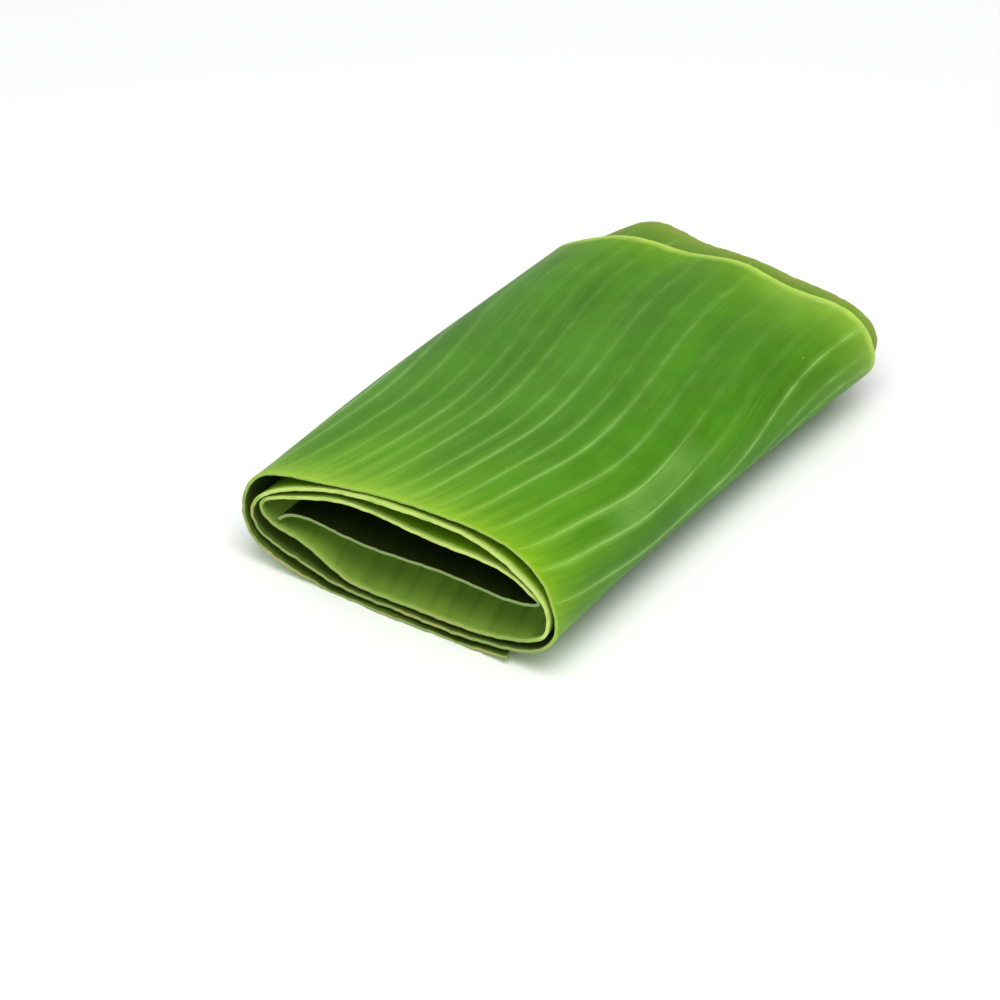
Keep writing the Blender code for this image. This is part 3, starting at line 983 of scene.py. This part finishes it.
class LeafColours(bpy.types.PropertyGroup):
    """Colours of the leaf."""

    upper: colour_property("Upper side", "Green of the glossy upper side", (0.063, 0.222, 0.005))
    upper_deep: colour_property(
        "Upper side, deep", "Deeper green in stripes of the upper side", (0.05, 0.187, 0.004),
    )
    under: colour_property("Under side", "Paler green of the under side", (0.16, 0.26, 0.035))
    under_deep: colour_property(
        "Under side, deep", "Deeper green in stripes of the under side", (0.12, 0.21, 0.025),
    )
    young: colour_property(
        "Towards the edges", "Yellow-green of the blade towards its edges", (0.122, 0.31, 0.008),
    )
    fresh: colour_property("Beside the cut", "Yellow-green of the blade beside the cut", (0.2, 0.4, 0.008))
    fresh_pale: colour_property("Beside the cut, pale", "Paler green beside the cut", (0.28, 0.5, 0.03))
    vein: colour_property("Side veins", "Pale green of the side veins", (0.27, 0.52, 0.12))
    cut: colour_property("Cut edge", "Pale green of the fresh cut", (0.48, 0.63, 0.155))
    cut_green: colour_property("Cut edge, green", "Greener places of the cut", (0.27, 0.44, 0.055))
    dull: colour_property("Dull edges", "Grey-green of the edges deep in the packet", (0.19, 0.28, 0.09))
    margin: colour_property("Margin", "Yellow-green of the leaf's natural edge", (0.44, 0.66, 0.1))
    dry: colour_property("Dry places", "Brown of dry places on the edges", (0.41, 0.35, 0.11))
    young_reach: reach_property(
        "Yellow-green reach", "How far in from the cut the yellow-green reaches", 42 * MM,
    )
    fresh_reach: reach_property(
        "Fresh reach", "How far in from the cut the freshest colour reaches", 10 * MM,
    )
    cut_reach: reach_property(
        "Pale reach", "How far in the blade is as pale as its cut on the inner passes", 3.6 * MM,
    )
    margin_reach: reach_property(
        "Margin reach", "How far in from the natural edge its colour reaches", 6.3 * MM,
    )


class StageSettings(bpy.types.PropertyGroup):
    """The floor, the lights and the camera."""

    floor_colour: colour_property("Floor", "Colour of the floor", (0.95, 0.95, 0.95))
    world_colour: colour_property("Surroundings", "Colour of the surroundings", (0.97, 0.98, 1.0))
    world_light: bpy.props.FloatProperty(
        name="Surrounding light", description="Strength of the surrounding light", default=0.55, min=0.0,
    )
    key_power: power_property("Main light", "Power of the large soft main light", 39.0)
    sheen_power: power_property("Low light", "Power of the low cool light behind the packet", 1.2)
    front_power: power_property("Front light", "Power of the light that reaches into the open end", 9.0)
    azimuth: angle_property("Camera turn", "How far the camera stands to the right of the open end", 34.5)
    elevation: angle_property("Camera height", "How far above the floor the camera looks from", 34.5)
    distance: length_property("Camera distance", "Distance of the camera from the packet", 2.9296, 0.1, 4)
    lens: bpy.props.FloatProperty(
        name="Lens", description="Focal length in millimetres", default=200.0, min=1.0,
    )


# Pieces


def blade_source(sizes):
    """The blade's middle surface, once for each side, with all that its tree and finishes need."""
    outline, veins, (columns, shares, gaps) = strip_parts(sizes)
    rows = row_places()
    place, middle, sole, on_table = blade_at(columns, rows, outline, sizes)
    along = np.broadcast_to(rows, place.shape)
    outward = outward_normal(middle)
    middle = middle - packed_middle(outline)

    from_cut = along * LENGTH
    from_margin = (1 - along) * LENGTH
    lip = rounded(from_cut / CUT_ROUND, CUT_LIP) * rounded(from_margin / MARGIN_ROUND, MARGIN_LIP)
    pleat = pleat_profile(shares[:, None], gaps[:, None], along) * ~on_table

    numbers = np.searchsorted([vein[0] for vein in veins], columns + HAIR)
    strengths = [vein_strength(number, front, back, rows) for number, (_, front, back) in enumerate(veins)]
    strengths = np.array([0 * rows] + strengths + [0 * rows])
    nearer = numbers + (shares > 0.5)
    distance = np.minimum(shares, 1 - shares) * gaps
    vein_line = np.exp(-((distance / VEIN_LINE_WIDTH) ** 2))[:, None]
    vein_near = strengths[nearer] * vein_line * pass_look("vein_show", place, outline)

    count, length = along.shape
    grid = np.arange(count * length).reshape(count, length)
    corners = np.stack([grid[:-1, :-1], grid[1:, :-1], grid[1:, 1:], grid[:-1, 1:]], axis=-1).reshape(-1, 4)
    other = grid.size
    faces = corners[:, ::-1].tolist() + (corners + other).tolist()
    finish = [OUTWARD] * len(corners) + [INWARD] * len(corners)
    rim = [(grid[i, 0], CUT_EDGE) for i in range(count)] + [(grid[-1, j], CUT_EDGE) for j in range(1, length)]
    rim += [(grid[i, -1], MARGIN_EDGE) for i in range(count - 2, -1, -1)]
    rim += [(grid[0, j], CUT_EDGE) for j in range(length - 2, 0, -1)]
    for (first, _), (second, kind) in zip(rim, rim[1:] + rim[:1]):
        faces.append((int(first), int(second), int(second) + other, int(first) + other))
        finish.append(kind)

    def doubled(values):
        return np.concatenate([np.broadcast_to(values, along.shape).ravel()] * 2)

    points = np.concatenate([middle.reshape(-1, 3)] * 2)
    both_sides = {
        "column": columns[:, None], "from_cut": from_cut, "from_margin": from_margin, "vein_near": vein_near,
        "vein_line": vein_line, "lip": lip, "pleat": pleat, "sole": sole, "on_table": on_table,
    }
    for name in LOOKS:
        if name not in SHAPE_LOOKS:
            both_sides[name] = pass_look(name, place, outline)
    values = {name: doubled(value) for name, value in both_sides.items()}
    # No painted shade or light on the outward side
    values["painted_shade_and_light"][: grid.size] = 1
    values["outward"] = np.concatenate([outward.reshape(-1, 3)] * 2)
    values["blade_side"] = np.repeat([1.0, -1.0], grid.size)
    mesh = mesh_with_values("leaf_blade_source", points, [], faces, values)
    kinds = mesh.attributes.new("finish", "FLOAT", "FACE")
    kinds.data.foreach_set("value", finish)
    return mesh


def vein_lines(sizes):
    """Lines along the side veins, low between the blade's pleats and near its outward side."""
    outline, veins, (columns, _, gaps) = strip_parts(sizes)
    rows = row_places()[FREE_ROWS:-FREE_ROWS]
    rise = np.clip(np.minimum(rows, 1 - rows) * LENGTH / CORD_RISE - CORD_RISE_FROM, 0, 1)
    full = half_blade(rows, sizes)
    points, edges, values = [], [], {"column": [], "from_cut": [], "strength": [], "half_blade": []}
    for number, (column, front, back) in enumerate(veins):
        beside = np.array([column - CORD_BESIDE, column, column + CORD_BESIDE])
        place, middle, sole, on_table = blade_at(beside, rows, outline, sizes)
        normal = outward_normal(middle)[1]
        first, last = np.searchsorted(columns, (column - HAIR, column + HAIR))
        gap = gaps[first - 1 : last].mean()
        low = pleat_profile(0.0, gap, rows) * sizes.pleat * ~on_table[1]
        strength = vein_strength(number, front, back, rows) * rise * pass_look("vein_show", place[1], outline)
        proud = strength * sizes.vein_relief
        resting = (BLADE / 2 + full - CORD_LEAN) / 2 - proud
        half = np.where(on_table[1], resting, CORD_FIT * full - CORD_LEAN)
        line = middle[1] + normal * (low + CORD_LEAN)[:, None] - packed_middle(outline)
        line[:, 2] = np.maximum(line[:, 2], sole[1] + half + proud)
        start = sum(len(part) for part in points)
        edges += [(start + k, start + k + 1) for k in range(len(rows) - 1)]
        points.append(line)
        values["column"].append(np.full(len(rows), column))
        values["from_cut"].append(rows * LENGTH)
        values["strength"].append(strength)
        values["half_blade"].append(half)
    joined = {name: np.concatenate(value) for name, value in values.items()}
    return mesh_with_values("side_veins_source", np.concatenate(points), edges, [], joined)


def margin_line(sizes):
    """A line along the leaf's natural edge."""
    outline, _, (columns, shares, gaps) = strip_parts(sizes)
    rows = 1 - np.array([MARGIN_CORD_BESIDE, MARGIN_CORD_IN]) / LENGTH
    place, middle, sole, on_table = blade_at(columns, rows, outline, sizes)
    normal = outward_normal(middle)[:, 1]
    low = pleat_profile(shares, gaps, rows[1]) * sizes.pleat * ~on_table[:, 1]
    line = middle[:, 1] + normal * low[:, None] - packed_middle(outline)
    short, long = MARGIN_CORD_WAVES
    waves = np.sin(columns / short) * np.sin(columns / long + 1)
    wander = 1 - MARGIN_CORD_SWING + MARGIN_CORD_SWING * waves
    half = np.full(len(columns), sizes.margin_rim / 2)
    line[:, 2] = np.maximum(line[:, 2], sole[:, 1] + half + wander * sizes.margin_relief)
    edges = [(k, k + 1) for k in range(len(columns) - 1)]
    values = {
        "column": columns, "from_cut": np.full(len(columns), LENGTH), "strength": wander, "half_blade": half,
        "fresh_margin": pass_look("fresh_margin", place[:, 1], outline),
    }
    return mesh_with_values("margin_cord_source", line, edges, [], values)


class BANANA_LEAF_OT_blade(bpy.types.Operator):
    """Build the folded blade with its pleats, its cut edge and its natural edge"""

    bl_idname = "banana_leaf.blade"
    bl_label = "Leaf blade"

    def execute(self, context):
        sizes = context.scene.leaf_sizes
        colours = context.scene.leaf_colours
        upper = blade_finish("leaf_upper_side", colours, {
            "green": colours.upper, "deep": colours.upper_deep, "freshness": 1.0, "painted_pleat_shade": 0.0,
            "painted_cut_shade": 0.0, "least_roughness": 0.4, "gloss": 0.02, "relief": 0.3,
        })
        under = blade_finish("leaf_under_side", colours, {
            "green": colours.under, "deep": colours.under_deep, "freshness": 0.0, "painted_pleat_shade": 0.4,
            "painted_cut_shade": 0.85, "least_roughness": 0.47, "gloss": 0.0, "relief": 0.5,
        })
        cut = edge_finish("leaf_cut_edge", colours, colours.cut, "pale_cut", "dry_cut", CUT_DRY_SHARE)
        margin = margin_finish("leaf_margin_edge", colours)
        piece = grown("leaf_blade", blade_source(sizes), blade_tree(), {
            "Blade thickness": sizes.blade, "Thickness at the cut": sizes.cut_rim,
            "Thickness at the margin": sizes.margin_rim, "Rim reach": sizes.rim_reach,
            "Pleat height": sizes.pleat, "Upper side": upper, "Under side": under, "Cut edge": cut,
            "Margin edge": margin,
        })
        piece.data.shade_smooth()
        piece.data.set_sharp_from_angle(angle=SHARP_TURN)
        join_to_packet(piece)
        return {"FINISHED"}


class BANANA_LEAF_OT_side_veins(bpy.types.Operator):
    """Build the side veins that run through the blade from the cut to the natural edge"""

    bl_idname = "banana_leaf.side_veins"
    bl_label = "Side veins"

    def execute(self, context):
        sizes = context.scene.leaf_sizes
        piece = grown("side_veins", vein_lines(sizes), cord_tree(), {
            "Relief": sizes.vein_relief, "Sides": sizes.vein_sides,
            "Finish": vein_finish("leaf_side_veins", context.scene.leaf_colours),
        })
        join_to_packet(piece)
        return {"FINISHED"}


class BANANA_LEAF_OT_margin(bpy.types.Operator):
    """Build the thin cord in the leaf's natural edge"""

    bl_idname = "banana_leaf.margin"
    bl_label = "Margin cord"

    def execute(self, context):
        sizes = context.scene.leaf_sizes
        piece = grown("margin_cord", margin_line(sizes), cord_tree(), {
            "Relief": sizes.margin_relief, "Sides": sizes.vein_sides,
            "Finish": margin_finish("leaf_margin_cord", context.scene.leaf_colours),
        })
        join_to_packet(piece)
        return {"FINISHED"}


def soft_light(name, setting, power):
    """A large square light that looks at the packet from a direction."""
    direction, size, colour = setting
    lamp = bpy.data.lights.new(name, "AREA")
    lamp.shape = "SQUARE"
    lamp.size = size
    lamp.energy = power
    lamp.color = colour
    light = bpy.data.objects.new(name, lamp)
    away = Vector(direction).normalized()
    light.location = Vector(LIGHT_AIM) + away * LIGHT_DISTANCE
    light.rotation_euler = away.to_track_quat("Z", "Y").to_euler()
    bpy.context.scene.collection.objects.link(light)


class BANANA_LEAF_OT_stage(bpy.types.Operator):
    """Build the floor, the soft lights, the surroundings and the camera"""

    bl_idname = "banana_leaf.stage"
    bl_label = "Stage"

    def execute(self, context):
        look = context.scene.leaf_stage
        material, tree, shader = new_finish("pale_floor")
        shade = add_node(tree, "ShaderNodeTexNoise", {"Scale": 3.0, "Detail": 2.0})
        coordinates = add_node(tree, "ShaderNodeTexCoord")
        tree.links.new(coordinates.outputs["Object"], shade.inputs["Vector"])
        dim = darkened(look.floor_colour, FLOOR_DIM)
        colour = mixed(tree, shade.outputs["Fac"], look.floor_colour, dim)
        tree.links.new(colour, shader.inputs["Base Color"])
        shader.inputs["Roughness"].default_value = 0.75
        mesh = bpy.data.meshes.new("floor")
        far = FLOOR_REACH
        points = [(-far, -far, 0), (far, -far, 0), (far, far, 0), (-far, far, 0)]
        mesh.from_pydata(points, [], [(0, 1, 2, 3)])
        mesh.materials.append(material)
        floor = bpy.data.objects.new("floor", mesh)
        context.scene.collection.objects.link(floor)

        world = bpy.data.worlds.new("surroundings")
        world.use_nodes = True
        background = world.node_tree.nodes["Background"]
        background.inputs["Color"].default_value = (*look.world_colour, 1)
        background.inputs["Strength"].default_value = look.world_light
        context.scene.world = world
        context.scene.view_settings.view_transform = "Standard"
        soft_light("main_light", MAIN_LIGHT, look.key_power)
        soft_light("low_light", LOW_LIGHT, look.sheen_power)
        soft_light("front_light", FRONT_LIGHT, look.front_power)

        turn, height = look.azimuth, look.elevation
        right = Vector((math.cos(turn), math.sin(turn), 0))
        flat = Vector((math.sin(turn), -math.cos(turn), 0))
        back = flat * math.cos(height) + Vector((0, 0, math.sin(height)))
        up = back.cross(right)
        lens = bpy.data.cameras.new("camera")
        lens.sensor_width = SENSOR
        lens.lens = look.lens
        lens.clip_end = VIEW_END
        camera = bpy.data.objects.new("camera", lens)
        target = Vector(CAMERA_TARGET) * MM - Vector(packed_middle(strip_outline()))
        place = Matrix((right, up, back)).transposed().to_4x4()
        place.translation = target + back * look.distance
        camera.matrix_world = place
        context.scene.collection.objects.link(camera)
        context.scene.camera = camera
        return {"FINISHED"}


class BANANA_LEAF_PT_panel(bpy.types.Panel):
    """Sizes, colours and the pieces to build"""

    bl_idname = "BANANA_LEAF_PT_panel"
    bl_label = "Folded banana leaf"
    bl_space_type = "VIEW_3D"
    bl_region_type = "UI"
    bl_category = "Banana Leaf"

    def draw(self, context):
        layout = self.layout
        for title, group in (
            ("Sizes", context.scene.leaf_sizes),
            ("Colours", context.scene.leaf_colours),
            ("Stage", context.scene.leaf_stage),
        ):
            box = layout.box()
            box.label(text=title)
            for name in group.__annotations__:
                box.prop(group, name)
        for operator in OPERATORS:
            layout.operator(operator.bl_idname)


OPERATORS = (BANANA_LEAF_OT_blade, BANANA_LEAF_OT_side_veins, BANANA_LEAF_OT_margin, BANANA_LEAF_OT_stage)
CLASSES = (LeafSizes, LeafColours, StageSettings, *OPERATORS, BANANA_LEAF_PT_panel)


def register():
    for item in CLASSES:
        bpy.utils.register_class(item)
    bpy.types.Scene.leaf_sizes = bpy.props.PointerProperty(type=LeafSizes)
    bpy.types.Scene.leaf_colours = bpy.props.PointerProperty(type=LeafColours)
    bpy.types.Scene.leaf_stage = bpy.props.PointerProperty(type=StageSettings)


def unregister():
    del bpy.types.Scene.leaf_stage
    del bpy.types.Scene.leaf_colours
    del bpy.types.Scene.leaf_sizes
    for item in reversed(CLASSES):
        bpy.utils.unregister_class(item)


def corners(box):
    return [[float(part) for part in corner] for corner in box]


def main():
    register()
    bpy.ops.banana_leaf.stage()
    bpy.ops.banana_leaf.blade()
    bpy.ops.banana_leaf.side_veins()
    bpy.ops.banana_leaf.margin()


if __name__ == "__main__":
    main()
